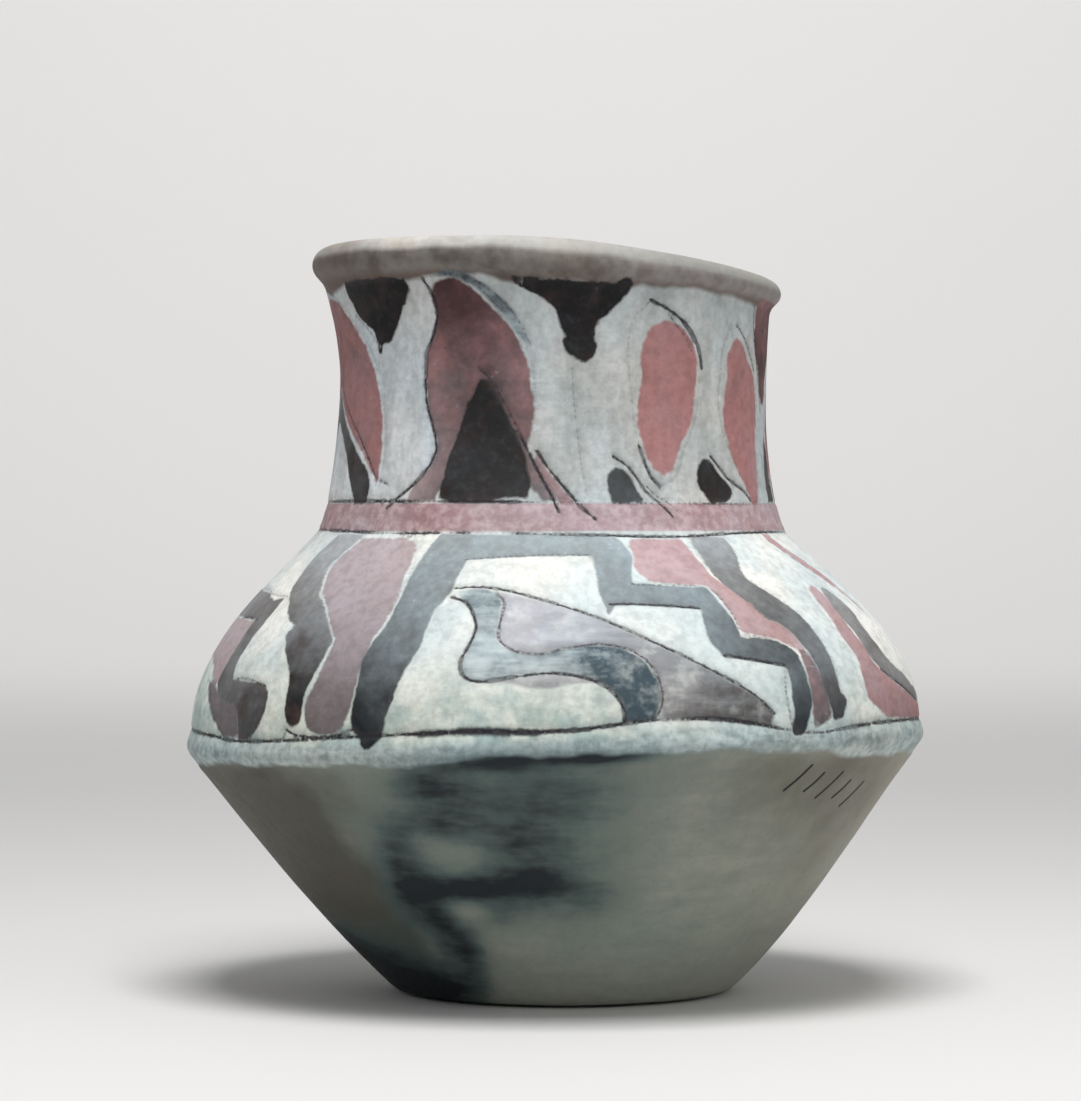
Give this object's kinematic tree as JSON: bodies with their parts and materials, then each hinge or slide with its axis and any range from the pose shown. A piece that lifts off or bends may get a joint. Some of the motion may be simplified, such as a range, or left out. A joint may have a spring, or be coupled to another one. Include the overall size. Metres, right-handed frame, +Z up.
{
  "type": "painted pottery vase",
  "caption": "Hand-built pottery vase with a conical foot, ridged belly, domed shoulder, tall neck and rolled lip, painted with stepped and leaf shapes.",
  "frame": {"origin": "middle of the vase's box, on the plane of the flat underside", "axes": "+Z up along the vase's axis, -Y towards the painted face that the picture shows, +X to its right"},
  "size_m": [0.2198, 0.2202, 0.2211],
  "materials": {
    "painted_clay": "unglazed fired clay with white, red and black earth paint, matt to satin"
  },
  "bodies": {
    "root": {"vase": "painted_clay"}
  },
  "joints": []
}
